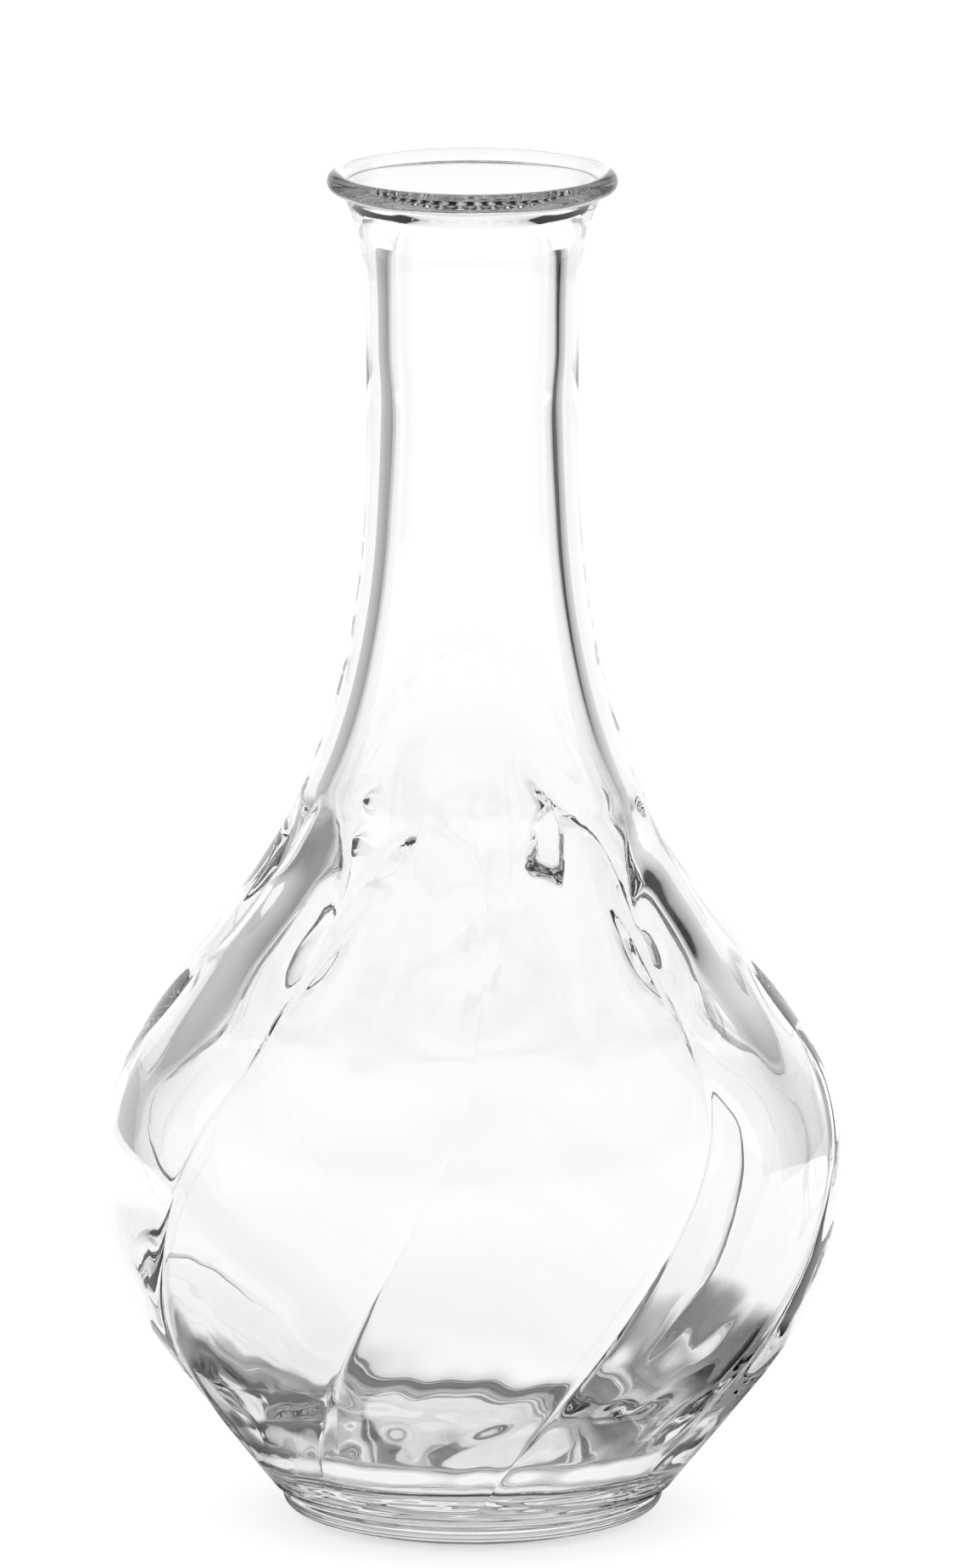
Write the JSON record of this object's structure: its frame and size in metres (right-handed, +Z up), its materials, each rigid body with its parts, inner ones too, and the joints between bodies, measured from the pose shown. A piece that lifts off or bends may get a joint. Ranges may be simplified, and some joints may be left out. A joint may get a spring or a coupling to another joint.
{
  "type": "bud vase",
  "caption": "Clear glass bud vase with a beaded lip, a slim neck and a round bulb with twisted lobes, standing on a small foot.",
  "frame": {"origin": "centre of the foot's contact ring, on the surface that the vase stands on", "axes": "+Z up along the vase's axis; -Y is the side that the picture shows"},
  "size_m": [0.0924, 0.0924, 0.17],
  "materials": {
    "clear_glass": "clear and polished, colourless, with a faint grey in thick glass"
  },
  "bodies": {
    "root": {"glass_vase": "clear_glass"}
  },
  "joints": []
}
